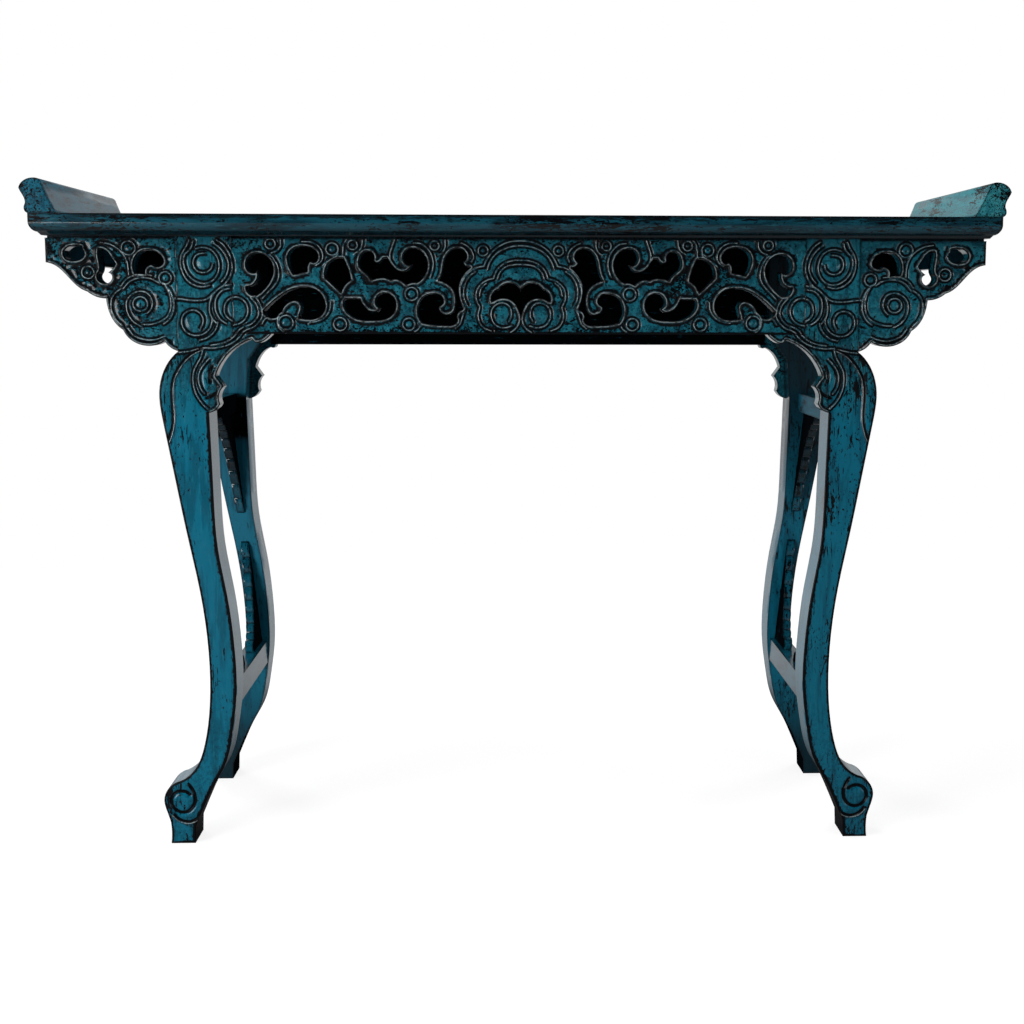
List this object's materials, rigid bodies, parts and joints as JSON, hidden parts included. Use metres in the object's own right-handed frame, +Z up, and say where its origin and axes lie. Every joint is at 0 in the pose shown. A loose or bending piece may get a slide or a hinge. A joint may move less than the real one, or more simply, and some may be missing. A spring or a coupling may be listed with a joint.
{
  "type": "console table",
  "caption": "Long carved console table with raised rolled ends, a pierced scrollwork apron, winged corners and S-curved legs on scroll feet, joined at each end by a pierced frame.",
  "frame": {"origin": "on the floor, under the middle of the table", "axes": "+X along the table towards the right end as seen from the front, +Y from the front to the back, +Z up"},
  "size_m": [1.3, 0.4, 0.9],
  "materials": {
    "carved_lacquer": "glossy teal lacquer over black, rubbed through on the carving",
    "plain_lacquer": "glossy teal lacquer over black, worn in specks along the grain",
    "hidden_wood": "thin teal lacquer over black"
  },
  "bodies": {
    "root": {"top_front_rail": "plain_lacquer", "top_rear_rail": "plain_lacquer", "top_left_end_rail": "plain_lacquer", "top_right_end_rail": "plain_lacquer", "top_front_board": "plain_lacquer", "top_rear_board": "plain_lacquer", "top_left_batten": "hidden_wood", "top_middle_batten": "hidden_wood", "top_right_batten": "hidden_wood", "left_raised_end": "plain_lacquer", "right_raised_end": "plain_lacquer", "front_apron": "carved_lacquer", "rear_apron": "plain_lacquer", "front_left_wing": "carved_lacquer", "front_right_wing": "carved_lacquer", "rear_left_wing": "plain_lacquer", "rear_right_wing": "plain_lacquer", "left_end_board": "plain_lacquer", "right_end_board": "plain_lacquer", "front_left_leg": "carved_lacquer", "front_right_leg": "carved_lacquer", "rear_left_leg": "carved_lacquer", "rear_right_leg": "carved_lacquer", "front_left_bracket": "carved_lacquer", "front_right_bracket": "carved_lacquer", "rear_left_bracket": "carved_lacquer", "rear_right_bracket": "carved_lacquer", "left_upper_side_rail": "plain_lacquer", "right_upper_side_rail": "plain_lacquer", "left_stretcher": "plain_lacquer", "right_stretcher": "plain_lacquer", "front_left_upper_spandrel": "plain_lacquer", "front_right_upper_spandrel": "plain_lacquer", "rear_left_upper_spandrel": "plain_lacquer", "rear_right_upper_spandrel": "plain_lacquer", "front_left_lower_spandrel": "plain_lacquer", "front_right_lower_spandrel": "plain_lacquer", "rear_left_lower_spandrel": "plain_lacquer", "rear_right_lower_spandrel": "plain_lacquer", "side_rail_pegs": "hidden_wood", "stretcher_pegs": "hidden_wood"}
  },
  "joints": []
}
